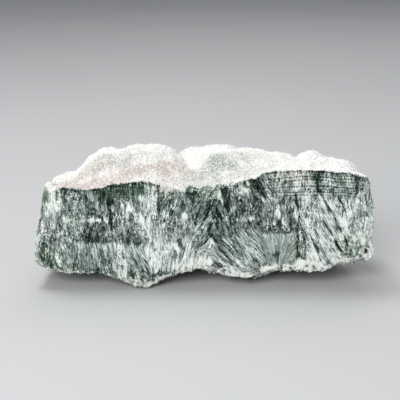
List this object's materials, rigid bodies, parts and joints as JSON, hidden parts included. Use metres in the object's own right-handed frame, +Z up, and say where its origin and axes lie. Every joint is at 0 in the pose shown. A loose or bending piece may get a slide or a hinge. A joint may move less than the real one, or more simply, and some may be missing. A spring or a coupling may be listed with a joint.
{
  "type": "seraphinite specimen",
  "caption": "Raw block of fibrous green and white mineral, split flat on its front, with a pale rough crust on top, for display on a shelf or table.",
  "frame": {"origin": "centre of the stone's bounding box, on the surface that it rests on", "axes": "+X along the stone, from left to right seen from the split face; +Y from the split face towards the back; +Z up"},
  "size_m": [0.1656, 0.0732, 0.0647],
  "materials": {
    "seraphinite": "rough split fibres with a silky sheen, near-black green to pale green-white, under a white to pinkish-beige weathered crust"
  },
  "bodies": {
    "root": {"seraphinite_stone": "seraphinite"}
  },
  "joints": []
}
